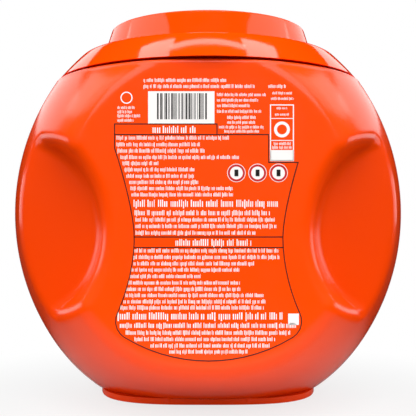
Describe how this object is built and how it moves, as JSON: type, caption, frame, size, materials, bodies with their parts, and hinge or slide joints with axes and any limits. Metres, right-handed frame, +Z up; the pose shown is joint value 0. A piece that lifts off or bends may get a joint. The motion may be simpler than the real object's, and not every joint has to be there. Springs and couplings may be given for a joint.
{
  "type": "laundry pod tub",
  "caption": "Round-sided plastic tub, flat front and back, with finger grips, a low foot, a film label and a domed lift-off lid with a round boss to turn it by.",
  "frame": {"origin": "centre of the foot on the floor it stands on", "axes": "+X across the width, the printed panel faces -Y, +Z up along the lid's axis"},
  "size_m": [0.236, 0.185, 0.2218],
  "materials": {
    "tub_plastic": "gloss, blow-moulded",
    "lid_plastic": "gloss, injection-moulded",
    "label_film": "printed clear film"
  },
  "bodies": {
    "tub": {"tub": "tub_plastic", "back_label": "label_film"},
    "lid": {"lid": "lid_plastic"}
  },
  "joints": [
    {"name": "lid_lift", "type": "slide", "parent": "tub", "child": "lid", "axis": [0, 0, 1], "range_m": [0, 0.06]}
  ]
}
